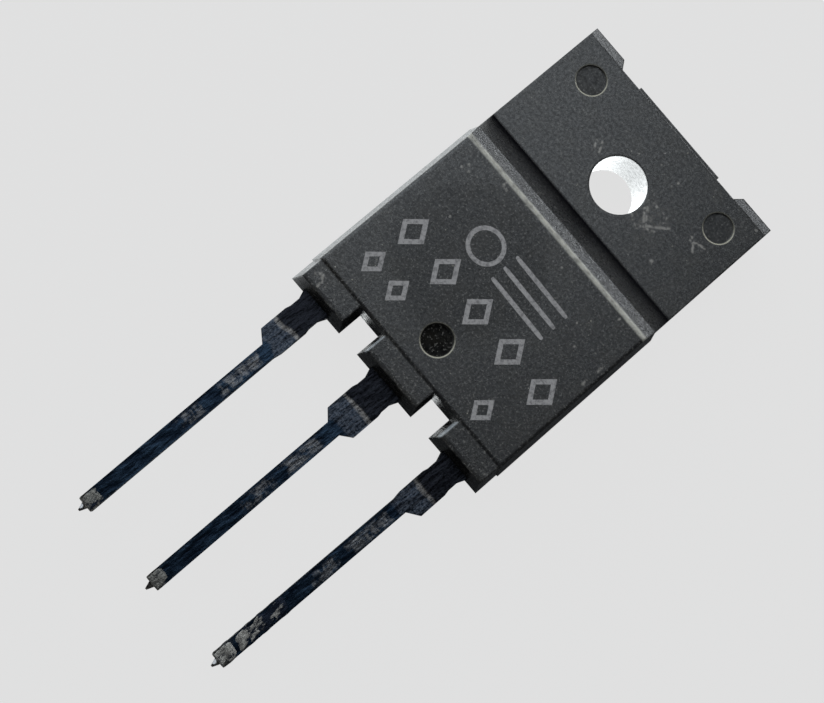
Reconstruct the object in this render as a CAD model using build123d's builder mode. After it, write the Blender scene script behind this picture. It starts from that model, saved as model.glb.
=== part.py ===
"""A power transistor in a fully moulded package with three leads, and all that is moulded in.

The origin is on the axis of the mounting hole, at the back face. +Z rises out of the front
face, +Y runs along the package to the end of the tab and +X goes across to the emitter side.
Lengths are in millimetres, angles in degrees.
"""

import os
from math import radians, tan

from build123d import *

# ------------------------------------------------------------------ moulded case, overall
case_width = 15.6  # at the parting line, the widest place
case_height = 5.5  # back face to front face
tab_height = 3.45
tab_reach = 5.4  # hole axis to the end of the tab
case_reach = 17.6  # hole axis to the ends of the collars
hole_diameter = 3.4
hole_rim = 0.2  # bevel of the hole's rim at the back

# The mould parts at the underside of the leads, and lower down round the tab.
lead_cover = 1.5  # moulding over the leads, up to the front face
tab_parting = 1.75
upper_side_draft = 12.0
lower_side_draft = 4.0
end_draft = 1.0  # ends of the tab and of the body, above their parting lines and at the tab's foot
lower_end_draft = 9.0  # body and collars, below the leads

# ------------------------------------------------------------------ step between tab and body
step_foot = 2.9  # hole axis to the foot of the slope
slope_run = 1.58
brow_run = 0.85  # bevel between the slope and the front face
brow_drop = 0.5
edge_round = 0.2

# ------------------------------------------------------------------ end of the tab
end_bevel_run = 0.72
end_bevel_drop = 0.45
end_round = 0.15  # edge between the bevel and the end wall
notch_foot_width = 9.7
notch_mouth_width = 10.6
ledge_width = 6.84
ledge_height = 2.95
ledge_reach = 0.38  # how far it stands out of the notch's wall

# ------------------------------------------------------------------ collars round the leads
collar_length = 1.52
collar_drop = 0.08  # the collars' tops lie this far under the front face
collar_inset = 0.1  # outer collars, from the body's side
centre_collar_width = 4.5
collar_gap = 1.5
collar_draft = 7.5  # faces towards the leads' gaps, and the ends above the leads

# ------------------------------------------------------------------ marks of the mould's pins
tab_mark_diameter = 1.8
tab_mark_depth = 0.12
tab_mark_across = 5.55  # from the hole axis
tab_mark_along = 2.85
body_mark_diameter = 1.84
body_mark_depth = 0.3
body_mark_margin = 2.0  # to the body's end

# ------------------------------------------------------------------ leads
lead_pitch = 5.45
lead_thickness = 0.65
lead_width = 0.95
lead_length = 16.1  # collar end to the lead's square end
outer_shoulder_out = 0.7  # outer leads: shoulder beyond the thin part, away from the middle
outer_shoulder_in = 0.08
centre_shoulder = 0.6
neck_relief = 0.07  # the neck is narrower than the shoulder by this on each side
root_flare = 0.2
flare_end = 0.5  # from here on, all are counted from the collars' ends
neck_end = 1.1
shoulder_start = 1.4
shoulder_end = 3.1
taper_end = 3.6
tip_bevel = 0.12
nib_width = 0.4
nib_point = 0.1
nib_length = 0.42
nib_thickness = 0.25
base_tip_drift = 0.05  # the tips of the outer leads lean in a little
emitter_tip_drift = -0.16

# ------------------------------------------------------------------ heat spreader and strap
back_cover = 0.8  # moulding between the back face and the spreader
spreader_thickness = 2.0
spreader_width = 12.8
spreader_top_reach = 4.0  # hole axis to its end under the tab
spreader_low_margin = 4.4  # body's end to the spreader's low end
spreader_corner = 0.8
hole_wall = 1.2  # moulding round the mounting hole, inside the spreader's slot
slot_corner = 1.5
tie_bar_width = 1.2
tie_bar_reach = 5.15  # hole axis to the cut ends
strap_width = 2.6
strap_rise_margin = 3.8  # body's end to the start of the rise
strap_rise_run = 1.4
strap_bend = 0.8
lock_hole = 1.0

# ------------------------------------------------------------------ bond posts
post_length = 2.0
post_width = 3.3
post_end_margin = 0.7  # body's end to the posts
post_outer_margin = 1.15  # case side to the posts, at the lead seat

# ------------------------------------------------------------------ chip and wires
die_side = 4.6
die_thickness = 0.28
die_low_margin = 4.2  # spreader's low end to the chip's centre
solder_margin = 0.15
solder_thickness = 0.06
base_wire_diameter = 0.25
emitter_wire_diameter = 0.45
base_bond = (-1.6, -1.5)  # on the chip, from its centre
emitter_bond = (1.1, -0.8)
wire_clearance = 0.45  # between the wires' tops and the front face
# A wire's foot and its bends, in wire diameters.
foot_length_ratio = 4.8
foot_width_ratio = 1.6
foot_height_ratio = 0.6
foot_corner_ratio = 0.45
wire_seat_ratio = 0.55  # middle of the wire over the foot's underside
flat_run_ratio = 1.6  # straight run from the middle of a foot to the first bend
wire_bend_ratio = 0.5

# ------------------------------------------------------------------ worked out from the above
lead_top = case_height - lead_cover
lead_seat = lead_top - lead_thickness
spreader_top = back_cover + spreader_thickness
slot_width = hole_diameter + 2 * hole_wall
slot_end = spreader_top_reach + slot_corner  # past the spreader, so that it is open there
die_seat = spreader_top + solder_thickness
die_top = die_seat + die_thickness
half_width = case_width / 2
brow_foot_y = -(step_foot + slope_run)
face_start_y = brow_foot_y - brow_run
brow_foot_z = case_height - brow_drop
body_reach = case_reach - collar_length
spreader_low_reach = body_reach - spreader_low_margin
strap_rise_start = body_reach - strap_rise_margin
post_start = body_reach - post_end_margin - post_length
die_centre = spreader_low_reach - die_low_margin
notch_wall_y = tab_reach - end_bevel_run
tie_bar_floor = tab_parting - lead_thickness / 2
tie_bar_centre = (notch_foot_width + ledge_width) / 4


def leaning(rise, draft):
    """How far a wall with this draft leans in over this rise."""
    return rise * tan(radians(draft))


def drafted_block(side_view, front_view):
    """The solid that has both outlines: one seen from +X as (y, z), one along Y as (x, z)."""
    with BuildPart() as block:
        with BuildSketch(Plane.YZ):
            with BuildLine():
                Polyline(*side_view, close=True)
            make_face()
        extrude(amount=case_width, both=True)
        with BuildSketch(Plane.XZ):
            with BuildLine():
                Polyline(*front_view, close=True)
            make_face()
        extrude(amount=2 * case_reach, both=True, mode=Mode.INTERSECT)
    return block.part


def section(left, right, parting, top, left_lean, right_lean):
    """Front view that is widest at the parting line and leans in above and below it."""
    low = leaning(parting, lower_side_draft)
    return [
        (left + low, 0),
        (left, parting),
        (left + left_lean, top),
        (right - right_lean, top),
        (right, parting),
        (right - low, 0),
    ]


# ================================================================== collector frame
def flat_lead(centre, left_shoulder, right_shoulder, root, drift):
    """Plan outline of one lead, from its root inside the collar to its nib, as (x, y) points."""
    half = lead_width / 2
    exit_y = -case_reach

    def at(side, out, down, lean=0.0):
        return (centre + side * (half + out) + lean, exit_y - down)

    def edge(side, shoulder):
        neck = shoulder - neck_relief
        return [
            (centre + side * (half + neck + root_flare), root),
            at(side, neck + root_flare, 0),
            at(side, neck, flare_end),
            at(side, neck, neck_end),
            at(side, shoulder, shoulder_start),
            at(side, shoulder, shoulder_end),
            at(side, 0, taper_end),
            at(side, 0, lead_length - tip_bevel, drift),
            at(side, -tip_bevel, lead_length, drift),
            (centre + drift + side * nib_width / 2, exit_y - lead_length),
            (centre + drift + side * nib_point / 2, exit_y - lead_length - nib_length),
        ]

    return edge(-1, left_shoulder) + edge(1, right_shoulder)[::-1]


def nib_cutters(centre):
    """The two wedges that thin a lead's nib from above and below."""
    end_y = -(case_reach + lead_length)
    tip_y = end_y - nib_length
    cut = (lead_thickness - nib_thickness) / 2
    with BuildPart() as wedges:
        with BuildSketch(Plane.YZ.offset(centre)):
            with BuildLine():
                Polyline((end_y, lead_top), (tip_y, lead_top), (tip_y, lead_top - cut), close=True)
            make_face()
            with BuildLine():
                Polyline((end_y, lead_seat), (tip_y, lead_seat), (tip_y, lead_seat + cut), close=True)
            make_face()
        extrude(amount=lead_width, both=True)
    return wedges.part


lead_mid = lead_seat + lead_thickness / 2
strap_low_mid = spreader_top - lead_thickness / 2
strap_end_y = -(case_reach - collar_length / 2)

with BuildPart() as collector_frame:
    # Heat spreader with a slot that runs from round the mounting hole out to its top end.
    with BuildSketch(Plane.XY.offset(back_cover)):
        with Locations((0, (spreader_top_reach - spreader_low_reach) / 2)):
            RectangleRounded(spreader_width, spreader_top_reach + spreader_low_reach, spreader_corner)
        with Locations((0, (slot_end - slot_width / 2) / 2)):
            RectangleRounded(slot_width, slot_end + slot_width / 2, slot_corner, mode=Mode.SUBTRACT)
    extrude(amount=spreader_thickness)
    # Stubs of the tie bars that held it in the strip, cut off in the notch.
    tie_bar_length = tie_bar_reach - spreader_top_reach / 2
    with BuildSketch(Plane.XY.offset(tie_bar_floor)):
        with Locations(
            (-tie_bar_centre, tie_bar_reach - tie_bar_length / 2),
            (tie_bar_centre, tie_bar_reach - tie_bar_length / 2),
        ):
            Rectangle(tie_bar_width, tie_bar_length)
    extrude(amount=lead_thickness)
    # Strap that rises from the spreader to the plane of the leads.
    with BuildSketch(Plane.YZ):
        with BuildLine():
            FilletPolyline(
                (-spreader_low_reach + spreader_corner, strap_low_mid),
                (-strap_rise_start, strap_low_mid),
                (-strap_rise_start - strap_rise_run, lead_mid),
                (strap_end_y, lead_mid),
                radius=strap_bend,
            )
        trace(line_width=lead_thickness)
    extrude(amount=strap_width / 2, both=True)
    # Centre lead.
    with BuildSketch(Plane.XY.offset(lead_seat)):
        with BuildLine():
            Polyline(*flat_lead(0, centre_shoulder, centre_shoulder, strap_end_y, 0), close=True)
        make_face()
    extrude(amount=lead_thickness)
    add(nib_cutters(0), mode=Mode.SUBTRACT)
    # Hole that the moulding locks into.
    with Locations((0, -body_reach, lead_top)):
        Hole(lock_hole / 2, depth=lead_thickness)
collector_frame.part.label = "collector_frame"


# ================================================================== base and emitter leads
def post_outline(side):
    """Plan outline of a bond post, as (x, y) points. side is -1 for the base, 1 for the emitter."""
    outer = side * (half_width - post_outer_margin)
    inner = outer - side * post_width
    return [
        (outer, -post_start),
        (inner, -post_start),
        (inner, -post_start - post_length),
        (outer, -post_start - post_length),
    ]


def outer_lead(side, drift):
    """One outer lead with its bond post."""
    shoulders = [outer_shoulder_out, outer_shoulder_in]
    left, right = shoulders if side < 0 else shoulders[::-1]
    root = -(post_start + post_length / 2)
    with BuildPart() as lead:
        with BuildSketch(Plane.XY.offset(lead_seat)):
            with BuildLine():
                Polyline(*flat_lead(side * lead_pitch, left, right, root, drift), close=True)
            make_face()
            with BuildLine():
                Polyline(*post_outline(side), close=True)
            make_face()
        extrude(amount=lead_thickness)
        add(nib_cutters(side * lead_pitch), mode=Mode.SUBTRACT)
    return lead.part


with BuildPart() as base_lead:
    add(outer_lead(-1, base_tip_drift))
base_lead.part.label = "base_lead"

with BuildPart() as emitter_lead:
    add(outer_lead(1, emitter_tip_drift))
emitter_lead.part.label = "emitter_lead"

# ================================================================== chip
with BuildPart() as die_solder:
    with BuildSketch(Plane.XY.offset(spreader_top)):
        with Locations((0, -die_centre)):
            Rectangle(die_side + 2 * solder_margin, die_side + 2 * solder_margin)
    extrude(amount=solder_thickness)
die_solder.part.label = "die_solder"

with BuildPart() as die:
    with BuildSketch(Plane.XY.offset(die_seat)):
        with Locations((0, -die_centre)):
            Rectangle(die_side, die_side)
    extrude(amount=die_thickness)
die.part.label = "die"


# ================================================================== bond wires
def bond_wire(start, end, diameter):
    """A round wire looped from the chip to a post, with a flattened foot at each end.

    start and end are the (x, y) centres of the feet. The loop lies in the upright plane
    through them and is drawn in that plane, as (distance from the start, height).
    """
    run = Vector(*end, 0) - Vector(*start, 0)
    along = run.normalized()
    span = run.length
    foot_length = foot_length_ratio * diameter
    flat_run = flat_run_ratio * diameter
    crest = case_height - wire_clearance - diameter / 2
    low = die_top + wire_seat_ratio * diameter
    high = lead_top + wire_seat_ratio * diameter
    upright = Plane(origin=(*start, 0), x_dir=along, z_dir=along.cross(Vector(0, 0, 1)))
    with BuildPart() as wire:
        with BuildLine(upright) as loop:
            FilletPolyline(
                (0, low),
                (flat_run, low),
                (flat_run + (crest - low) / 2, crest),
                (span - flat_run - (crest - high), crest),
                (span - flat_run, high),
                (span, high),
                radius=wire_bend_ratio * diameter,
            )
        with BuildSketch(Plane(origin=loop.line @ 0, z_dir=loop.line % 0)):
            Circle(diameter / 2)
        sweep(path=loop.line)
        for centre, seat in ((start, die_top), (end, lead_top)):
            with BuildSketch(Plane(origin=(*centre, seat), x_dir=along, z_dir=(0, 0, 1))):
                RectangleRounded(foot_length, foot_width_ratio * diameter, foot_corner_ratio * diameter)
            extrude(amount=foot_height_ratio * diameter)
    return wire.part


post_centre_x = half_width - post_outer_margin - post_width / 2
post_centre_y = -(post_start + post_length / 2)

with BuildPart() as base_wire:
    base_start = (base_bond[0], base_bond[1] - die_centre)
    add(bond_wire(base_start, (-post_centre_x, post_centre_y), base_wire_diameter))
base_wire.part.label = "base_wire"

with BuildPart() as emitter_wire:
    emitter_start = (emitter_bond[0], emitter_bond[1] - die_centre)
    add(bond_wire(emitter_start, (post_centre_x, post_centre_y), emitter_wire_diameter))
emitter_wire.part.label = "emitter_wire"

# ================================================================== moulded case
# Side lean of the body at the foot of its brow; the tab's side runs up to meet it there.
brow_lean = leaning(brow_foot_z - lead_seat, upper_side_draft)
face_lean = leaning(case_height - lead_seat, upper_side_draft)

end_wall_top = tab_height - end_bevel_drop

with BuildPart() as tab_block:
    add(
        drafted_block(
            [
                (brow_foot_y, 0),
                (brow_foot_y, brow_foot_z),
                (-step_foot, tab_height),
                (tab_reach - end_bevel_run, tab_height),
                (tab_reach - leaning(end_wall_top - tab_parting, end_draft), end_wall_top),
                (tab_reach, tab_parting),
                (tab_reach - leaning(tab_parting, end_draft), 0),
            ],
            section(-half_width, half_width, tab_parting, brow_foot_z, brow_lean, brow_lean),
        )
    )
    end_edge = tab_block.edges().filter_by(Axis.X).group_by(Axis.Z)[-3]
    fillet(end_edge, end_round)

with BuildPart() as body_block:
    add(
        drafted_block(
            [
                (brow_foot_y, 0),
                (brow_foot_y, brow_foot_z),
                (face_start_y, case_height),
                (-body_reach + leaning(case_height - lead_seat, end_draft), case_height),
                (-body_reach, lead_seat),
                (-body_reach + leaning(lead_seat, lower_end_draft), 0),
            ],
            section(-half_width, half_width, lead_seat, case_height, face_lean, face_lean),
        )
    )
    front_face = body_block.faces().sort_by(Axis.Z)[-1]
    fillet(front_face.edges(), edge_round)


def collar_block(left, right, left_draft, right_draft):
    """One collar, with its root inside the body."""
    top = case_height - collar_drop
    rise = top - lead_seat
    return drafted_block(
        [
            (-body_reach + collar_length, 0),
            (-body_reach + collar_length, top),
            (-case_reach + leaning(rise, collar_draft), top),
            (-case_reach, lead_seat),
            (-case_reach + leaning(lead_seat, lower_end_draft), 0),
        ],
        section(left, right, lead_seat, top, leaning(rise, left_draft), leaning(rise, right_draft)),
    )


outer_collar_edge = half_width - collar_inset
inner_collar_edge = centre_collar_width / 2 + collar_gap

with BuildPart() as case:
    add(tab_block.part)
    add(body_block.part)
    add(collar_block(-centre_collar_width / 2, centre_collar_width / 2, collar_draft, collar_draft))
    add(collar_block(-outer_collar_edge, -inner_collar_edge, upper_side_draft, collar_draft))
    add(collar_block(inner_collar_edge, outer_collar_edge, collar_draft, upper_side_draft))
    # Notch in the end of the tab, open to the front, with slanted sides.
    with BuildSketch(Plane.XY.offset(tie_bar_floor)):
        with BuildLine():
            Polyline(
                (-notch_foot_width / 2, notch_wall_y),
                (notch_foot_width / 2, notch_wall_y),
                (notch_mouth_width / 2, tab_reach),
                (notch_mouth_width / 2, tab_reach + end_bevel_run),
                (-notch_mouth_width / 2, tab_reach + end_bevel_run),
                (-notch_mouth_width / 2, tab_reach),
                close=True,
            )
        make_face()
    extrude(amount=tab_height, mode=Mode.SUBTRACT)
    # Low ledge in the middle of the notch, between the stubs of the tie bars.
    with BuildSketch(Plane.XY.offset(tie_bar_floor)):
        with Locations((0, notch_wall_y)):
            Rectangle(ledge_width, 2 * ledge_reach)
    extrude(amount=ledge_height - tie_bar_floor)
    # Mounting hole.
    Hole(hole_diameter / 2)
    back_rim = case.edges().filter_by(GeomType.CIRCLE).group_by(Axis.Z)[0]
    chamfer(back_rim, hole_rim)
    # Marks of the mould's pins.
    with Locations(
        (-tab_mark_across, tab_mark_along, tab_height),
        (tab_mark_across, tab_mark_along, tab_height),
    ):
        Hole(tab_mark_diameter / 2, depth=tab_mark_depth)
    with Locations((0, body_mark_margin - body_reach, case_height)):
        Hole(body_mark_diameter / 2, depth=body_mark_depth)
    # Room for everything that is moulded in.
    for inner in (collector_frame, base_lead, emitter_lead, die_solder, die, base_wire, emitter_wire):
        add(inner.part, mode=Mode.SUBTRACT)
case.part.label = "case"

# ================================================================== files
os.makedirs("parts", exist_ok=True)
export_step(case.part, "parts/case.step")
export_step(collector_frame.part, "parts/collector_frame.step")
export_step(base_lead.part, "parts/base_lead.step")
export_step(emitter_lead.part, "parts/emitter_lead.step")
export_step(die.part, "parts/die.step")
export_step(die_solder.part, "parts/die_solder.step")
export_step(base_wire.part, "parts/base_wire.step")
export_step(emitter_wire.part, "parts/emitter_wire.step")
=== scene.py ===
"""Dresses and lights a power transistor in a fully moulded package.

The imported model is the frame: its nodes keep their meshes and get their finishes here. New
pieces are the printed marks on the front face and the skins of solder on the lead ends. Lengths
are in millimetres until a mesh is made, and patterns read Object coordinates in millimetres.
The stage and its lights are in metres.
"""

import math

import bpy
import numpy as np
from mathutils import Matrix, Vector


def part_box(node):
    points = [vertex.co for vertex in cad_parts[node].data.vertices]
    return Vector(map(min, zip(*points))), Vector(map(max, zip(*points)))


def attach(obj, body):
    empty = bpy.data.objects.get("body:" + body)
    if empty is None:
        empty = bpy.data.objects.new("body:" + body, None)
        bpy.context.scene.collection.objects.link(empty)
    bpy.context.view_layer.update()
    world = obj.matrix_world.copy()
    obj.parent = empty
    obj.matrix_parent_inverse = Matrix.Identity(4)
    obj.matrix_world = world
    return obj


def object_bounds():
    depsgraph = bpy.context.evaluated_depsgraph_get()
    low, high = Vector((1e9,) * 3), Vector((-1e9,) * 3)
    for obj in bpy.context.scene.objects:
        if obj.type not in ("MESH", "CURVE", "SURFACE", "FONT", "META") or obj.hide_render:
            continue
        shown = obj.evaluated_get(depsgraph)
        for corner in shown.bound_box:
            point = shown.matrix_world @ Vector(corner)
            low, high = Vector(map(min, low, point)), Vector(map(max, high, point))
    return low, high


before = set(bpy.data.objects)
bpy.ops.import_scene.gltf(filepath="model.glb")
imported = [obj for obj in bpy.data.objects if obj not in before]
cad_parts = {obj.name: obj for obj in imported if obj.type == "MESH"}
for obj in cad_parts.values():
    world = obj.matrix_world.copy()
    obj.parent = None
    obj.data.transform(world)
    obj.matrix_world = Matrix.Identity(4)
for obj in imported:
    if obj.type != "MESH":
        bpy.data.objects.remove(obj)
cad_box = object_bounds()

MM = 0.001

# ------------------------------------------------------------------ places, from the frame
case_low, case_high = (np.array(corner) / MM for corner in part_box("case"))
base_low, base_high = (np.array(corner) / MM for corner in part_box("base_lead"))
collector_low, _ = (np.array(corner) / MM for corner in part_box("collector_frame"))

face_z = case_high[2]  # front face
collar_end_y = case_low[1]
tip_y = collector_low[1]  # points of the leads' nibs
lead_floor_z, lead_top_z = base_low[2], base_high[2]
lead_mid_z = (lead_floor_z + lead_top_z) / 2
lead_thickness = lead_top_z - lead_floor_z

# ------------------------------------------------------------------ places on the case
hole_radius = 1.7
tab_face_z = 3.45
slope_foot_y, slope_top_y = -2.9, -4.48  # from the tab's face up to the brow
brow_foot_z = 5.0
crest_y = -5.32  # edge between the brow and the front face
body_end_y = collar_end_y + 1.52  # the collars start here
collar_rim_z = 4.7  # where the painted highlights on the collars' left corners begin, near their tops
body_mark_y = -14.08
pin_marks = [(-5.55, 2.85, 0.92), (5.55, 2.85, 0.92), (0.0, body_mark_y, 0.94)]  # x, y, radius
ink_film = 0.01  # over the front face
ink_sunk = 0.03  # under it, so that the marks are closed solids that sit in the face

# ------------------------------------------------------------------ places on the leads
lead_pitch = 5.45
lead_width = 0.95
square_end_y = tip_y + 0.42  # the nib is beyond it
base_drift, emitter_drift = 0.05, -0.16  # how far the tips lean across
solder_top_y = collar_end_y - 2.07  # where solder starts on the leads
thin_start_y = collar_end_y - 3.6  # end of the leads' tapers
mottled_places = [(-23.4, 1.15), (-26.5, 0.35)]  # middle and half-length, along the leads


# ================================================================== camera
view_tilt = 9.41  # degrees off straight down, to the leads' side
view_azimuth = -87.4
view_turn = 139.13  # direction on the part that points up in the view
view_distance = 77.6
view_lens = 59.17
aim_offset = np.array([-0.45, -0.26, -2.75])  # from the middle of the part


def add_camera():
    """A camera that looks down on the part, turned so that the leads point to the lower left."""
    middle = np.mean(np.array(cad_box), axis=0) / MM
    aim = Vector(middle + aim_offset) * MM
    tilt, azimuth, turn = (math.radians(a) for a in (view_tilt, view_azimuth, view_turn))
    away = Vector(
        (math.sin(tilt) * math.cos(azimuth), math.sin(tilt) * math.sin(azimuth), math.cos(tilt))
    )
    right = Vector((math.cos(turn), math.sin(turn), 0.0)).cross(away).normalized()
    up = away.cross(right)
    data = bpy.data.cameras.new("camera")
    data.lens = view_lens
    data.sensor_width = 36.0
    data.clip_start = 0.001
    camera = bpy.data.objects.new("camera", data)
    bpy.context.collection.objects.link(camera)
    camera.matrix_world = Matrix.Translation(aim + away * view_distance * MM) @ Matrix(
        (right, up, away)
    ).transposed().to_4x4()
    bpy.context.scene.camera = camera


# ================================================================== node trees
def new_material(name):
    """An empty node material: (material, its tree, its shader)."""
    material = bpy.data.materials.new(name)
    material.use_nodes = True
    tree = material.node_tree
    shader = next(n for n in tree.nodes if n.type == "BSDF_PRINCIPLED")
    return material, tree, shader


def put(tree, socket, value):
    """Links a socket, or sets a plain value."""
    if isinstance(value, bpy.types.NodeSocket):
        tree.links.new(value, socket)
    else:
        socket.default_value = value


def math_node(tree, operation, *values):
    """One arithmetic step on sockets or plain numbers."""
    node = tree.nodes.new("ShaderNodeMath")
    node.operation = operation
    for socket, value in zip(node.inputs, values):
        put(tree, socket, value)
    return node.outputs[0]


def times(tree, *values):
    """The product of sockets or plain numbers."""
    total = values[0]
    for value in values[1:]:
        total = math_node(tree, "MULTIPLY", total, value)
    return total


def brightest(tree, values):
    """The largest of several sockets."""
    total = values[0]
    for value in values[1:]:
        total = math_node(tree, "MAXIMUM", total, value)
    return total


def millimetres(tree):
    """Object coordinates in millimetres."""
    where = tree.nodes.new("ShaderNodeTexCoord").outputs["Object"]
    scaled = tree.nodes.new("ShaderNodeVectorMath")
    scaled.operation = "SCALE"
    put(tree, scaled.inputs[0], where)
    scaled.inputs["Scale"].default_value = 1 / MM
    return scaled.outputs[0]


def stretched(tree, where, location=(0, 0, 0), turn=0.0, scale=(1, 1, 1)):
    """A pattern's own coordinates: moved to a place, turned about Z, and stretched."""
    mapping = tree.nodes.new("ShaderNodeMapping")
    mapping.vector_type = "TEXTURE"
    put(tree, mapping.inputs["Vector"], where)
    mapping.inputs["Location"].default_value = location
    mapping.inputs["Rotation"].default_value = (0, 0, math.radians(turn))
    mapping.inputs["Scale"].default_value = scale
    return mapping.outputs[0]


def noise(tree, where, scale, detail=2.0, roughness=0.5):
    """A cloudy pattern from 0 to 1, with about this many lumps to the millimetre."""
    node = tree.nodes.new("ShaderNodeTexNoise")
    put(tree, node.inputs["Vector"], where)
    node.inputs["Scale"].default_value = scale
    node.inputs["Detail"].default_value = detail
    node.inputs["Roughness"].default_value = roughness
    return node.outputs["Fac"]


def ramp(tree, value, low, high, start=0.0, end=1.0):
    """Goes smoothly from start to end as value goes from low to high."""
    node = tree.nodes.new("ShaderNodeMapRange")
    node.interpolation_type = "SMOOTHSTEP"
    put(tree, node.inputs["Value"], value)
    put(tree, node.inputs["From Min"], low)
    put(tree, node.inputs["From Max"], high)
    node.inputs["To Min"].default_value = start
    node.inputs["To Max"].default_value = end
    return node.outputs["Result"]


def blend(tree, amount, first, second):
    """Mixes two colours."""
    node = tree.nodes.new("ShaderNodeMix")
    node.data_type = "RGBA"
    put(tree, node.inputs["Factor"], amount)
    put(tree, node.inputs["A"], first)
    put(tree, node.inputs["B"], second)
    return node.outputs["Result"]


def grey(level, blue=0.0):
    """An RGBA colour of this linear level, shifted a little towards blue."""
    return (level * (1 - blue), level, level * (1 + blue), 1.0)


def band(tree, value, middle, half_width, soft):
    """1 within half_width of the middle, and 0 beyond a soft margin."""
    off = math_node(tree, "ABSOLUTE", math_node(tree, "SUBTRACT", value, middle))
    return ramp(tree, off, half_width, half_width + soft, 1.0, 0.0)


def dimmed(tree, value, mask, least):
    """The value, multiplied by least where the mask is 1."""
    return times(tree, value, ramp(tree, mask, 0.0, 1.0, 1.0, least))


def spot(tree, where, centre, radius, soft):
    """1 within a radius of a point in plan, and 0 beyond a soft margin."""
    return ramp(tree, apart_from(tree, where, centre), radius, radius + soft, 1.0, 0.0)


def apart_from(tree, where, centre):
    """Distance from a point in plan."""
    flat = tree.nodes.new("ShaderNodeVectorMath")
    flat.operation = "MULTIPLY"
    put(tree, flat.inputs[0], where)
    flat.inputs[1].default_value = (1, 1, 0)
    apart = tree.nodes.new("ShaderNodeVectorMath")
    apart.operation = "DISTANCE"
    put(tree, apart.inputs[0], flat.outputs[0])
    apart.inputs[1].default_value = (*centre, 0)
    return apart.outputs["Value"]


def rounded_normal(tree, radius):
    """The surface normal, rounded over the edges with a radius in millimetres."""
    bevel = tree.nodes.new("ShaderNodeBevel")
    bevel.samples = 6
    bevel.inputs["Radius"].default_value = radius * MM
    return bevel.outputs["Normal"]


def relief(tree, shader, height, depth, base=None):
    """Bump from a height pattern, on a base normal if one is given; depth is in millimetres."""
    node = tree.nodes.new("ShaderNodeBump")
    put(tree, node.inputs["Height"], height)
    node.inputs["Distance"].default_value = depth * MM
    if base is not None:
        put(tree, node.inputs["Normal"], base)
    put(tree, shader.inputs["Normal"], node.outputs["Normal"])


def axes_of(tree, where):
    """The x, y and z sockets of a vector."""
    split = tree.nodes.new("ShaderNodeSeparateXYZ")
    put(tree, split.inputs[0], where)
    return split.outputs


# ================================================================== finishes
def worn_edges(tree, where, width, amount):
    """1 at the moulding's sharp edges, broken up by noise, and 0 on its faces."""
    flat = tree.nodes.new("ShaderNodeNewGeometry").outputs["Normal"]
    product = tree.nodes.new("ShaderNodeVectorMath")
    product.operation = "DOT_PRODUCT"
    put(tree, product.inputs[0], rounded_normal(tree, width))
    put(tree, product.inputs[1], flat)
    edge = ramp(tree, product.outputs["Value"], 0.9, 0.99, 1.0, 0.0)
    broken = ramp(tree, noise(tree, where, 1.6, detail=4.0, roughness=0.7), 0.42, 0.62)
    return times(tree, edge, broken, amount)


def scratch(tree, where, start, end, width, soft):
    """1 along a straight fine line from start to end in plan, and 0 beside it."""
    run = np.array(end) - np.array(start)
    middle = (np.array(start) + np.array(end)) / 2
    turn = math.degrees(math.atan2(run[1], run[0]))
    along, across, _ = axes_of(tree, stretched(tree, where, (*middle, 0), turn))
    length = float(np.hypot(*run))
    line = band(tree, across, 0.0, width / 2, soft)
    return times(tree, line, band(tree, along, 0.0, length / 2, soft))


def dots(tree, where, density, radius, sparse):
    """Small round dots at random places; cells whose random number is under sparse stay bare."""
    node = tree.nodes.new("ShaderNodeTexVoronoi")
    node.feature = "F1"
    put(tree, node.inputs["Vector"], where)
    node.inputs["Scale"].default_value = density
    near = ramp(tree, node.outputs["Distance"], radius * 0.5, radius, 1.0, 0.0)
    pick = axes_of(tree, node.outputs["Color"])[0]
    return times(tree, near, math_node(tree, "GREATER_THAN", pick, sparse))


# Fine scratches on the front, each from one point to another, as (x, y).
scratches = [
    ((1.75, 0.75), (2.75, -0.35)),
    ((2.75, -0.35), (3.75, 0.6)),
    ((1.9, 0.35), (2.6, -0.4)),
    ((2.3, -0.75), (3.3, -0.2)),
    ((2.1, 0.9), (3.2, 0.85)),
    ((1.7, -0.55), (2.5, -0.8)),
    ((4.9, 1.35), (5.6, 0.75)),
    ((5.0, 1.1), (5.9, 1.45)),
    ((-2.45, 0.95), (-2.15, 0.4)),
    ((-2.75, 0.75), (-2.55, 0.45)),
    ((-4.05, -5.75), (-3.75, -5.8)),
    ((-4.05, -5.75), (-4.05, -5.55)),
    ((-6.15, -6.45), (-5.85, -6.75)),
    ((-6.9, -16.75), (-6.6, -16.45)),
    ((-6.6, -16.45), (-6.35, -16.8)),
    ((-6.35, -16.8), (-6.3, -17.25)),
    ((6.9, -8.2), (6.95, -8.6)),
    ((6.85, -9.3), (6.9, -9.6)),
    ((4.35, -13.9), (4.45, -14.3)),
]
# Painted highlights along the lit left corners of two collars, each from one point to another, as
# (x, y).
collar_corner_highlights = [((-2.04, -16.15), (-2.04, -17.35)), ((3.96, -16.15), (3.96, -17.35))]
rubbed_patch = (2.6, 0.1)  # middle of a rubbed patch on the tab, beside the hole
handled_patch = (-2.2, -9.9)  # middle of the body's duller patch
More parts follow.
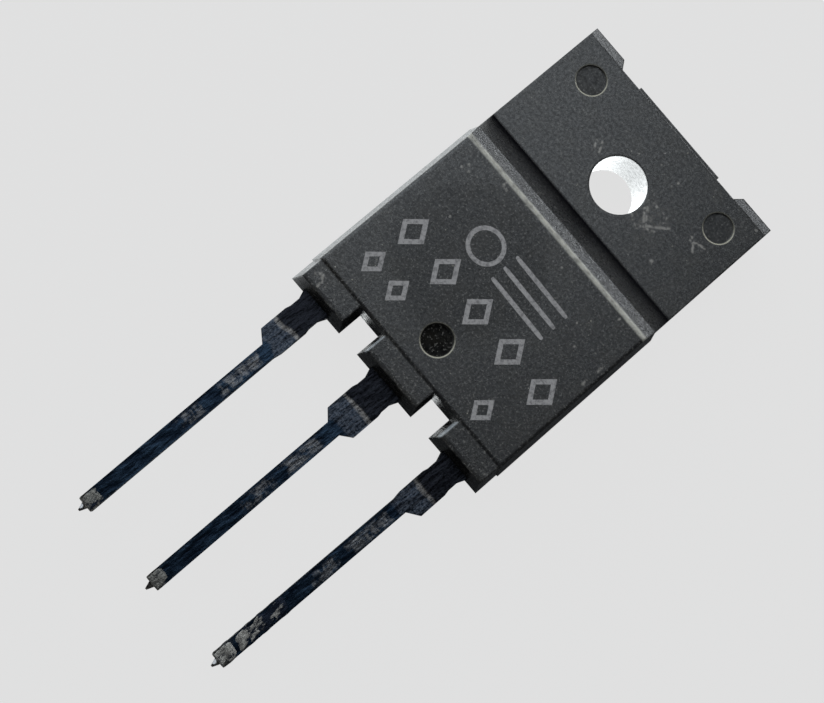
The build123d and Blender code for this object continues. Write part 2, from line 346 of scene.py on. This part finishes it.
# Pale chips and dust on the front, as (x, y, radius).
chips = [
    (2.05, 2.35, 0.1),
    (4.45, -1.45, 0.12),
    (4.55, -1.6, 0.07),
    (5.9, -4.5, 0.1),
    (5.6, -4.65, 0.08),
    (6.1, -4.75, 0.06),
    (-0.6, 2.15, 0.05),
    (0.3, 3.35, 0.07),
    (-1.0, 1.9, 0.05),
    (0.69, 2.78, 0.12),
    (2.11, 2.78, 0.1),
    (7.06, 4.49, 0.09),
    (7.14, 3.78, 0.08),
    (3.93, -7.56, 0.07),
    (4.2, -7.65, 0.07),
    (4.65, -7.19, 0.1),
    (5.04, -8.12, 0.08),
    (5.09, -8.6, 0.09),
    (6.12, -7.97, 0.07),
    (-4.63, -9.15, 0.08),
    (-6.28, -6.83, 0.09),
    (1.4, -6.26, 0.07),
    (5.93, -5.41, 0.1),
    (5.57, -5.69, 0.09),
    (-0.03, -12.54, 0.06),
    (3.24, 0.6, 0.09),
    (2.2, 0.24, 0.12),
    (2.67, 0.0, 0.1),
]


def compound_grain(tree, where):
    """The grain of the moulding compound, which the ink follows too."""
    return noise(tree, where, 5.5, detail=5.0, roughness=0.75)


def over_tab(tree, z):
    """1 from just under the tab's face upwards, and 0 below."""
    return ramp(tree, z, tab_face_z - 0.3, tab_face_z - 0.1)


def bare_moulding(tree, where, grain, coarse):
    """Colour of clean compound, with filler and dust that thin out on the sides."""
    clouds = noise(tree, where, 0.55, detail=4.0, roughness=0.6)
    specks = noise(tree, where, 8.0, detail=2.0, roughness=0.6)
    normal = tree.nodes.new("ShaderNodeNewGeometry").outputs["Normal"]
    level = ramp(tree, axes_of(tree, normal)[2], 0.5, 0.9)
    body = blend(tree, ramp(tree, grain, 0.36, 0.66), grey(0.002, 0.03), grey(0.014, -0.02))
    body = blend(tree, ramp(tree, clouds, 0.4, 0.7, 0.0, 0.5), body, (0.016, 0.014, 0.01, 1))
    filler = times(
        tree,
        ramp(tree, specks, 0.55, 0.7, 0.0, 0.75),
        ramp(tree, level, 0.0, 1.0, 0.35, 1.0),
        coarse,
    )
    body = blend(tree, filler, body, (0.17, 0.162, 0.148, 1))
    dust = times(
        tree,
        brightest(tree, [dots(tree, where, 1.7, 0.085, 0.75), dots(tree, where, 3.3, 0.11, 0.8)]),
        ramp(tree, clouds, 0.4, 0.6, 0.25, 0.9),
        ramp(tree, level, 0.0, 1.0, 0.12, 1.0),
    )
    return blend(tree, dust, body, (0.36, 0.34, 0.28, 1))


def with_scuffs_and_corner_highlights(tree, where, body):
    """The colour with scratches and chips, painted highlights on the collars' corners, a rubbed
    patch and worn edges.
    """
    _, _, z = axes_of(tree, where)
    marks = [scratch(tree, where, start, end, 0.04, 0.11) for start, end in scratches]
    marks += [spot(tree, where, (x, y), radius * 0.4, radius) for x, y, radius in chips]
    broken = ramp(tree, noise(tree, where, 4.0, detail=3.0), 0.38, 0.6)
    scuffs = times(tree, brightest(tree, marks), broken, over_tab(tree, z), 0.7)
    body = blend(tree, scuffs, body, (0.3, 0.28, 0.25, 1))
    # Painted highlights: pale, bluish lines along the lit left corners of two collars, near their
    # tops.
    corners = brightest(
        tree, [scratch(tree, where, start, end, 0.1, 0.08) for start, end in collar_corner_highlights]
    )
    corners = times(
        tree, corners, ramp(tree, z, collar_rim_z - 0.1, collar_rim_z + 0.1, 0.0, 0.9)
    )
    body = blend(tree, corners, body, (0.4, 0.42, 0.43, 1))
    patch = spot(tree, where, rubbed_patch, 0.3, 1.3)
    rubbed = ramp(tree, noise(tree, where, 3.0, detail=4.0), 0.45, 0.7)
    body = blend(tree, times(tree, patch, rubbed, 0.5), body, (0.13, 0.12, 0.1, 1))
    return blend(tree, worn_edges(tree, where, 0.12, 0.5), body, (0.2, 0.19, 0.17, 1))


def with_rim_highlights(tree, where, body):
    """The colour with a painted highlight round each pin mark: a fine pale rim, palest to the
    lower right, the side that faces the light.
    """
    x, y, z = axes_of(tree, where)
    slant = math_node(tree, "SUBTRACT", x, y)
    for mark_x, mark_y, radius in pin_marks:
        top = face_z if mark_y < crest_y else tab_face_z
        middle = mark_x - mark_y
        # Painted highlight: the pale rim on the lit side of the pin mark.
        rim = times(
            tree,
            band(tree, apart_from(tree, where, (mark_x, mark_y)), radius, 0.02, 0.05),
            ramp(tree, z, top - 0.12, top - 0.06),
            ramp(tree, slant, middle - 0.6, middle + 1.0, 0.2, 1.0),
        )
        body = blend(tree, rim, body, (0.42, 0.39, 0.3, 1))
    return body


def with_crest_rub_and_highlight(tree, where, body):
    """The colour with the edge between the brow and the front face painted pale: partly rubbed
    wear, partly a painted highlight.
    """
    _, y, z = axes_of(tree, where)
    rubbed = noise(tree, where, 2.2, detail=5.0, roughness=0.7)
    # Painted highlight along the crest, broken up like rubbed wear.
    crest_rub_and_highlight = times(
        tree,
        band(tree, y, crest_y, 0.07, 0.16),
        ramp(tree, z, face_z - 0.15, face_z - 0.1),
        ramp(tree, rubbed, 0.3, 0.6, 0.45, 1.0),
    )
    return blend(tree, crest_rub_and_highlight, body, (0.44, 0.42, 0.36, 1))


def moulding_gloss(tree, where, slope, deep):
    """Specular level: low on the slope and in the deep mark, a little higher on the brow."""
    _, y, z = axes_of(tree, where)
    on_slope = times(tree, slope, ramp(tree, z, tab_face_z, brow_foot_z, 0.0, 0.3))
    elsewhere = times(tree, math_node(tree, "SUBTRACT", 1.0, slope), 0.5)
    gloss = math_node(tree, "ADD", on_slope, elsewhere)
    gloss = dimmed(tree, gloss, deep, 0.12)
    gloss = dimmed(tree, gloss, spot(tree, where, handled_patch, 3.2, 2.2), 0.74)
    brow = times(
        tree,
        band(tree, y, (slope_top_y + crest_y) / 2, 0.4, 0.05),
        ramp(tree, z, brow_foot_z - 0.1, brow_foot_z),
        0.14,
    )
    gloss = math_node(tree, "ADD", gloss, brow)
    collar_ends = times(
        tree,
        ramp(tree, y, collar_end_y + 0.46, collar_end_y + 0.52, 1.0, 0.0),
        ramp(tree, z, lead_top_z, lead_top_z + 0.1),
    )
    return dimmed(tree, gloss, collar_ends, 0.5)


def moulding_finish():
    """Black epoxy with a fine grain, pale specks of filler, scuffs and worn edges, painted shade
    on the slope and painted highlights.
    """
    material, tree, shader = new_material("moulding")
    where = millimetres(tree)
    _, y, z = axes_of(tree, where)
    grain = compound_grain(tree, where)
    # The grain is strongest on the collars, weaker on the body and the tab, faint in the hole.
    coarse = times(
        tree,
        ramp(tree, y, body_end_y, body_end_y + 0.6, 1.0, 0.85),
        ramp(tree, y, slope_foot_y - 0.2, slope_foot_y + 0.2, 1.0, 0.62),
        ramp(
            tree, apart_from(tree, where, (0, 0)), hole_radius + 0.02, hole_radius + 0.1, 0.3, 1.0
        ),
    )
    slope = times(
        tree,
        ramp(tree, y, slope_foot_y - 0.05, slope_foot_y + 0.12, 1.0, 0.0),
        ramp(tree, y, slope_top_y - 0.02, slope_top_y + 0.02),
        over_tab(tree, z),
    )
    # The floor of the mark on the body, which is deeper than the other two.
    deep = times(
        tree,
        spot(tree, where, (0.0, body_mark_y), 0.86, 0.08),
        ramp(tree, z, face_z - 0.2, face_z - 0.1, 1.0, 0.0),
    )
    body = bare_moulding(tree, where, grain, coarse)
    body = with_crest_rub_and_highlight(tree, where, with_rim_highlights(tree, where, with_scuffs_and_corner_highlights(tree, where, body)))
    # Painted shade: the slope is darkened most at its foot, where it meets the tab.
    dark = times(tree, slope, ramp(tree, z, tab_face_z, brow_foot_z, 0.9, 0.1))
    body = blend(tree, dark, body, (0.001, 0.001, 0.002, 1))
    put(tree, shader.inputs["Base Color"], body)
    discs = brightest(
        tree, [spot(tree, where, (x, y), radius - 0.06, 0.06) for x, y, radius in pin_marks]
    )
    matt = brightest(tree, [times(tree, deep, 0.55), times(tree, discs, 0.22)])
    rough = ramp(tree, grain, 0.35, 0.65, 0.42, 0.17)
    put(tree, shader.inputs["Roughness"], math_node(tree, "ADD", rough, matt))
    put(tree, shader.inputs["Specular IOR Level"], moulding_gloss(tree, where, slope, deep))
    shader.inputs["IOR"].default_value = 1.5
    relief(tree, shader, times(tree, grain, coarse), 0.019, base=rounded_normal(tree, 0.14))
    return material


def lead_finish(name, middle_x, painted_glint_at=None):
    """Tinned copper coloured near black and dark blue: matt by the collars, mottled where solder
    has run up, pale tips.

    A lead given a place for a glint gets a painted glint there, a small white spot, as (x, y).
    """
    material, tree, shader = new_material(name)
    where = millimetres(tree)
    x, y, _ = axes_of(tree, where)
    wander = noise(tree, where, 0.9, detail=0.6)
    low = math_node(tree, "ADD", y, ramp(tree, wander, 0.3, 0.7, -0.35, 0.35))
    even = math_node(tree, "ADD", y, ramp(tree, wander, 0.3, 0.7, -0.12, 0.12))
    fine = noise(tree, where, 6.0, detail=5.0, roughness=0.7)
    streaks = noise(tree, stretched(tree, where, scale=(1.0, 3.5, 1.0)), 3.2, detail=4.0)

    # By the collars: dark and matt, then bluish below a pale line where the solder starts.
    body = blend(
        tree, ramp(tree, fine, 0.35, 0.7), (0.003, 0.004, 0.006, 1), (0.012, 0.013, 0.018, 1)
    )
    wetted = ramp(tree, even, solder_top_y - 0.05, solder_top_y + 0.1, 1.0, 0.0)
    bluish = blend(
        tree, ramp(tree, fine, 0.38, 0.62), (0.01, 0.015, 0.024, 1), (0.055, 0.063, 0.078, 1)
    )
    body = blend(tree, wetted, body, bluish)
    start_line = times(
        tree, band(tree, even, solder_top_y, 0.06, 0.14), ramp(tree, fine, 0.35, 0.6, 0.2, 0.8)
    )
    body = blend(tree, start_line, body, (0.16, 0.15, 0.14, 1))

    # The thin part: smooth and dark blue, with mottled places along its middle.
    thin = ramp(tree, low, thin_start_y - 0.1, thin_start_y + 0.1, 1.0, 0.0)
    smooth = blend(
        tree, ramp(tree, streaks, 0.4, 0.65), (0.003, 0.008, 0.017, 1), (0.013, 0.026, 0.045, 1)
    )
    body = blend(tree, thin, body, smooth)
    crumbs = noise(
        tree,
        stretched(tree, where, turn=-8, scale=(1.5, 1.0, 1.0)),
        2.6,
        detail=5.0,
        roughness=0.65,
    )
    zone = brightest(tree, [band(tree, low, at, half, 0.9) for at, half in mottled_places])
    fading = times(tree, math_node(tree, "SUBTRACT", zone, 1.0), 0.3)
    patches = ramp(tree, math_node(tree, "ADD", crumbs, fading), 0.36, 0.56)
    mottled = times(tree, patches, band(tree, x, middle_x, 0.22, 0.22), 0.9)
    specked = blend(
        tree, ramp(tree, fine, 0.4, 0.62), (0.065, 0.071, 0.083, 1), (0.158, 0.155, 0.152, 1)
    )
    body = blend(tree, mottled, body, specked)

    tip = ramp(tree, low, tip_y + 0.7, tip_y + 1.5, 1.0, 0.0)
    tinned = blend(
        tree, ramp(tree, fine, 0.35, 0.65), (0.03, 0.03, 0.03, 1), (0.2, 0.19, 0.165, 1)
    )
    body = blend(tree, tip, body, tinned)
    metallic = 0.9
    if painted_glint_at:
        # Painted glint: a small white, non-metallic spot on the nib.
        glint = spot(tree, where, painted_glint_at, 0.1, 0.08)
        body = blend(tree, glint, body, (1.0, 1.0, 1.0, 1))
        metallic = ramp(tree, glint, 0.0, 1.0, metallic, 0.0)
    put(tree, shader.inputs["Base Color"], body)
    put(tree, shader.inputs["Metallic"], metallic)
    put(tree, shader.inputs["Roughness"], ramp(tree, fine, 0.3, 0.7, 0.2, 0.4))
    relief(tree, shader, math_node(tree, "ADD", times(tree, fine, 0.12), streaks), 0.06)
    return material


def ink_finish():
    """Grey marking ink, thin enough for the moulding's grain to break it up."""
    material, tree, shader = new_material("marking_ink")
    where = millimetres(tree)
    grain = compound_grain(tree, where)
    colour = blend(
        tree, ramp(tree, grain, 0.36, 0.56), (0.17, 0.16, 0.158, 1), (0.36, 0.34, 0.33, 1)
    )
    put(tree, shader.inputs["Base Color"], colour)
    shader.inputs["Roughness"].default_value = 0.6
    relief(tree, shader, grain, 0.015)
    return material


def solder_finish():
    """Old solder: pale crests and dark flux between them, palest on the emitter's lead."""
    material, tree, shader = new_material("old_solder")
    where = millimetres(tree)
    x, y, _ = axes_of(tree, where)
    grown = stretched(tree, where, turn=12, scale=(1.0, 2.6, 1.0))
    streaks = noise(tree, grown, 3.4, detail=5.0, roughness=0.6)
    fine = noise(tree, where, 7.0, detail=4.0, roughness=0.7)
    to_tip = ramp(tree, y, tip_y + 0.4, tip_y + 5.0, -0.14, 0.06)
    least, most = (math_node(tree, "ADD", to_tip, level) for level in (0.52, 0.6))
    pale = ramp(tree, streaks, least, most)
    light = blend(
        tree, ramp(tree, fine, 0.35, 0.65), (0.09, 0.09, 0.084, 1), (0.23, 0.222, 0.2, 1)
    )
    light = blend(tree, ramp(tree, x, 2.0, 4.0, 0.0, 0.5), light, (0.42, 0.405, 0.37, 1))
    put(tree, shader.inputs["Base Color"], blend(tree, pale, (0.006, 0.01, 0.02, 1), light))
    shader.inputs["Metallic"].default_value = 0.8
    put(tree, shader.inputs["Roughness"], ramp(tree, fine, 0.3, 0.7, 0.25, 0.5))
    relief(tree, shader, math_node(tree, "ADD", streaks, times(tree, fine, 0.3)), 0.05)
    return material


def plain_metal(name, colour, roughness):
    """Bright metal of the pieces inside, clouded by faint drawing lines."""
    material, tree, shader = new_material(name)
    lines = noise(tree, stretched(tree, millimetres(tree), scale=(1, 6, 1)), 5.0, detail=3.0)
    dull = tuple(0.75 * c for c in colour)
    put(tree, shader.inputs["Base Color"], blend(tree, lines, (*dull, 1), (*colour, 1)))
    shader.inputs["Metallic"].default_value = 1.0
    shader.inputs["Roughness"].default_value = roughness
    return material


# ================================================================== printed marks
def make_piece(name, vertices, faces, material, slot):
    """A mesh object from an array of points in millimetres, riding on the part."""
    mesh = bpy.data.meshes.new(name)
    mesh.from_pydata((vertices * MM).tolist(), [], faces)
    mesh.materials.append(material)
    mesh.update()
    piece = bpy.data.objects.new(name, mesh)
    bpy.context.collection.objects.link(piece)
    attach(piece, "root")


def oval(width, height, power, count):
    """Points round a superellipse: x = w/2 |cos t|^(2/n) sign(cos t), and y likewise with sin."""
    t = np.linspace(0, 2 * math.pi, count, endpoint=False)
    c, s = np.cos(t), np.sin(t)
    x = width / 2 * np.sign(c) * np.abs(c) ** (2 / power)
    y = height / 2 * np.sign(s) * np.abs(s) ** (2 / power)
    return np.stack([x, y], axis=1)


def spun(points, turn, centre):
    """Points in plan, turned about the origin by these degrees and moved to a centre."""
    angle = math.radians(turn)
    spin = np.array([[math.cos(angle), math.sin(angle)], [-math.sin(angle), math.cos(angle)]])
    return points @ spin + centre


def flat_ring(centre, width, height, hollow, power=2.0, turn=0.0, count=48):
    """A closed flat ring between a superellipse and the same one shrunk by the factor hollow.

    Its section is a rectangle with corners at (outer, low), (outer, high), (inner, high) and
    (inner, low), carried round the oval.
    """
    outer = spun(oval(width, height, power, count), turn, centre)
    inner = spun(oval(width * hollow, height * hollow, power, count), turn, centre)
    low, high = face_z - ink_sunk, face_z + ink_film
    rings = [(outer, low), (outer, high), (inner, high), (inner, low)]
    points = np.concatenate(
        [np.column_stack([ring, np.full(count, z)]) for ring, z in rings]
    )
    here = np.arange(count)
    after = (here + 1) % count
    faces = []
    for k in range(4):
        a, b = k * count, (k + 1) % 4 * count
        faces += np.column_stack([a + here, a + after, b + after, b + here]).tolist()
    return points, faces


def flat_bar(centre, width, height, power=6.0, turn=0.0, count=32):
    """A solid flat mark: a superellipse one film thick, closed above and below."""
    edge = spun(oval(width, height, power, count), turn, centre)
    low = np.column_stack([edge, np.full(count, face_z - ink_sunk)])
    high = np.column_stack([edge, np.full(count, face_z + ink_film)])
    here = np.arange(count)
    after = (here + 1) % count
    sides = np.column_stack([here, after, count + after, count + here]).tolist()
    return np.concatenate([low, high]), sides + [here[::-1].tolist(), (count + here).tolist()]


def joined(shapes):
    """Several (points, faces) shapes as one."""
    points, faces, first = [], [], 0
    for shape_points, shape_faces in shapes:
        points.append(shape_points)
        faces += [[first + i for i in face] for face in shape_faces]
        first += len(shape_points)
    return np.concatenate(points), faces


def add_marks():
    """A ring, bars and plain diamonds in the places of a marking: a sign, a row and a last row."""
    ink = ink_finish()
    sign = [flat_ring((-2.15, -8.7), 2.3, 2.2, 0.774)]
    sign += [flat_bar((1.5, y), 4.3, 0.26, turn=-1.5) for y in (-7.85, -8.75, -9.65)]
    make_piece("sign_marks", *joined(sign), ink, "moulding")
    row = [
        flat_ring((x, y), 1.75, 2.2, 0.6, power=1.0, turn=-1.8)
        for x, y in zip(np.linspace(-5.26, 5.76, 5), np.linspace(-11.23, -11.6, 5))
    ]
    make_piece("row_marks", *joined(row), ink, "moulding")
    last = [
        flat_ring((x, y), 1.35, 1.7, 0.52, power=1.0, turn=-1.8)
        for x, y in [(-5.4, -13.95), (-3.4, -14.0), (4.4, -14.7)]
    ]
    make_piece("last_row_marks", *joined(last), ink, "moulding")


# ================================================================== solder on the leads
skin_power = 7.0  # exponent of the skins' section: the higher, the squarer
skin_row, skin_around = 0.05, 64  # step between rings of points, and points to a ring
skin_waves = 14
# Each skin, as (name, middle of its lead, the lead's lean, upper end, thickness, seed).
skins = [
    ("base_solder", -lead_pitch, base_drift, -32.75, 0.014, 3),
    ("collector_solder", 0.0, 0.0, -32.85, 0.014, 8),
    ("emitter_solder", lead_pitch, emitter_drift, -28.9, 0.016, 14),
]


def add_solder():
    """Skins of solder round the lead ends; the emitter's runs far up."""
    finish = solder_finish()
    for skin in skins:
        solder_skin(*skin, finish)


def solder_skin(name, centre, drift, top_y, thickness, seed, finish):
    """A lumpy closed sleeve round one lead, from top_y down to the lead's square end.

    Across the lead it is a superellipse |x/a|^n + |z/b|^n = 1. The half-widths a and b are the
    lead's own plus a skin that swells and thins as a sum of waves running along and round it,
    and that shrinks under the lead's surface at both ends.
    """
    rng = np.random.default_rng(seed)
    rows, around = int((top_y - square_end_y) / skin_row), skin_around
    t = np.linspace(0, 1, rows)[:, None]
    turn = np.linspace(0, 2 * math.pi, around, endpoint=False)[None, :]
    waves = np.zeros((rows, around))
    for _ in range(skin_waves):
        along = rng.uniform(2, 9) * (top_y - square_end_y)
        round_it = rng.integers(0, 5)
        waves += np.sin(along * t + round_it * turn + rng.uniform(0, 2 * math.pi))
    waves /= skin_waves ** 0.5
    ragged = 0.12 * np.sin(3 * turn + seed) + 0.08 * np.sin(7 * turn + 2 * seed)
    y = top_y + ragged * (1 - t) + (square_end_y - top_y) * t
    skin = thickness * (0.6 + 0.9 * waves)
    skin = skin * np.clip((1 - t) * rows / 2, 0, 1) * np.clip(t * rows / 5, 0, 1)
    skin -= 0.02 * (t == 0) + 0.02 * (t == 1)
    c, s = np.cos(turn), np.sin(turn)
    bulge = 2 / skin_power
    x = np.sign(c) * np.abs(c) ** bulge * (lead_width / 2 + skin)
    z = np.sign(s) * np.abs(s) ** bulge * (lead_thickness / 2 + skin)
    lean = drift * np.clip((thin_start_y - y) / (thin_start_y - square_end_y), 0, 1)
    points = np.stack([centre + lean + x, y + 0 * x, lead_mid_z + z], axis=2).reshape(-1, 3)
    row, here = np.meshgrid(np.arange(rows - 1), np.arange(around), indexing="ij")
    after = (here + 1) % around
    low, high = row * around, (row + 1) * around
    quads = np.stack([low + here, low + after, high + after, high + here], axis=2).reshape(-1, 4)
    ends = [np.arange(around)[::-1].tolist(), ((rows - 1) * around + np.arange(around)).tolist()]
    make_piece(name, points, quads.tolist() + ends, finish, "solder")


# ================================================================== stage
# Strengths of the ground's glow and of the table's: by the left wall, under the hole, under gaps.
ground_glow, wall_glow, hole_glow, gap_glow = 0.728, 1.3, 5.45, 2.2
gap_strips_x, gap_strips_y = (-3.75, 2.4), -16.8  # middles of the table's thin glowing strips


def add_plane(name, half, z, material, rim=0.0):
    """A level square sheet of this half-width, for the stage. In metres.

    With a rim, it has four walls of that height round it.
    """
    corners = [(-half, -half), (half, -half), (half, half), (-half, half)]
    points = [(x, y, z) for x, y in corners]
    faces = [(0, 1, 2, 3)]
    if rim:
        points += [(x, y, z + rim) for x, y in corners]
        faces += [(k, k + 4, (k + 1) % 4 + 4, (k + 1) % 4) for k in range(4)]
    mesh = bpy.data.meshes.new(name)
    mesh.from_pydata(points, [], faces)
    mesh.materials.append(material)
    plane = bpy.data.objects.new(name, mesh)
    bpy.context.collection.objects.link(plane)
    return plane


def matt_finish(name, level):
    """A dull grey finish for a sheet of the stage: (material, its tree, its shader)."""
    material, tree, shader = new_material(name)
    shader.inputs["Base Color"].default_value = grey(level)
    shader.inputs["Roughness"].default_value = 0.9
    shader.inputs["Specular IOR Level"].default_value = 0.0
    return material, tree, shader


def add_floor():
    """A pale table that lights the part from below, and the even pale ground that is seen.

    The table glows beside the case's left wall, under the mounting hole, and in thin strips
    under the gaps between the collars.
    """
    table, tree, shader = matt_finish("pale_table", 0.2)
    where = millimetres(tree)
    x, y, _ = axes_of(tree, where)
    left = ramp(tree, x, case_low[0] - 1.5, case_low[0] + 0.5, wall_glow, 0.0)
    under_hole = times(tree, spot(tree, where, (0, 0), 3.0, 2.0), hole_glow)
    strips = brightest(tree, [band(tree, x, at, 0.22, 0.1) for at in gap_strips_x])
    gaps = times(tree, strips, band(tree, y, gap_strips_y, 0.6, 0.15), gap_glow)
    shader.inputs["Emission Color"].default_value = (0.96, 1.0, 1.01, 1)
    put(tree, shader.inputs["Emission Strength"], brightest(tree, [left, under_hole, gaps]))
    lit = add_plane("table", 3.0, -0.05 * MM, table)
    lit.visible_camera = False
    ground, _, shader = matt_finish("pale_ground", 0.03)
    shader.inputs["Emission Color"].default_value = grey(1.0)
    shader.inputs["Emission Strength"].default_value = ground_glow
    seen = add_plane("ground", 0.9, 0.0, ground, rim=0.6)
    seen.visible_diffuse = False
    seen.visible_glossy = False
    seen.visible_transmission = False
    seen.visible_shadow = False


def add_softbox(name, azimuth, elevation, distance, width, height, radiance, tint=(1, 1, 1)):
    """An area light that faces the part. Angles are in degrees, lengths in metres."""
    data = bpy.data.lights.new(name, "AREA")
    data.shape = "RECTANGLE"
    data.size = width
    data.size_y = height
    data.energy = radiance * math.pi * width * height
    data.color = tint
    light = bpy.data.objects.new(name, data)
    bpy.context.collection.objects.link(light)
    azimuth, elevation = math.radians(azimuth), math.radians(elevation)
    away = Vector(
        (
            math.cos(elevation) * math.cos(azimuth),
            math.cos(elevation) * math.sin(azimuth),
            math.sin(elevation),
        )
    )
    target = Vector(np.mean(np.array(cad_box), axis=0))
    light.location = target + away * distance
    light.rotation_euler = away.to_track_quat("Z", "Y").to_euler()
    light.visible_camera = False


def add_lights():
    """A weak sky, a large key light from the upper left, and panels beyond the tab and left."""
    world = bpy.data.worlds.new("studio")
    bpy.context.scene.world = world
    world.use_nodes = True
    background = world.node_tree.nodes["Background"]
    background.inputs["Color"].default_value = (0.75, 0.78, 0.85, 1)
    background.inputs["Strength"].default_value = 0.12
    add_softbox("key", 138, 60, 0.4, 0.34, 0.34, 2.05, (0.93, 1.0, 1.06))
    add_softbox("low_panel", 90, 6.5, 0.4, 0.4, 0.055, 6.0, (0.95, 1.0, 1.05))
    add_softbox("window", 178, 28, 0.4, 0.3, 0.2, 3.0, (0.9, 1.0, 1.08))


def set_view():
    """Plain colours, with no film look."""
    view = bpy.context.scene.view_settings
    view.view_transform = "Standard"
    view.look = "None"


add_camera()
set_view()
add_floor()
add_lights()

finishes = {
    "case": moulding_finish(),
    # The base and emitter leads get painted glints by their tips.
    "base_lead": lead_finish("base_lead_metal", -lead_pitch, (-5.52, tip_y + 0.24)),
    "collector_frame": lead_finish("collector_metal", 0.0),
    "emitter_lead": lead_finish("emitter_lead_metal", lead_pitch, (5.17, tip_y + 0.26)),
    "die": plain_metal("silicon", (0.25, 0.26, 0.3), 0.25),
    "die_solder": plain_metal("solder", (0.55, 0.55, 0.55), 0.4),
    "base_wire": plain_metal("bond_wire", (0.9, 0.9, 0.92), 0.3),
}
finishes["emitter_wire"] = finishes["base_wire"]
for name, finish in finishes.items():
    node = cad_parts[name]
    node.data.materials.clear()
    node.data.materials.append(finish)
add_marks()
add_solder()
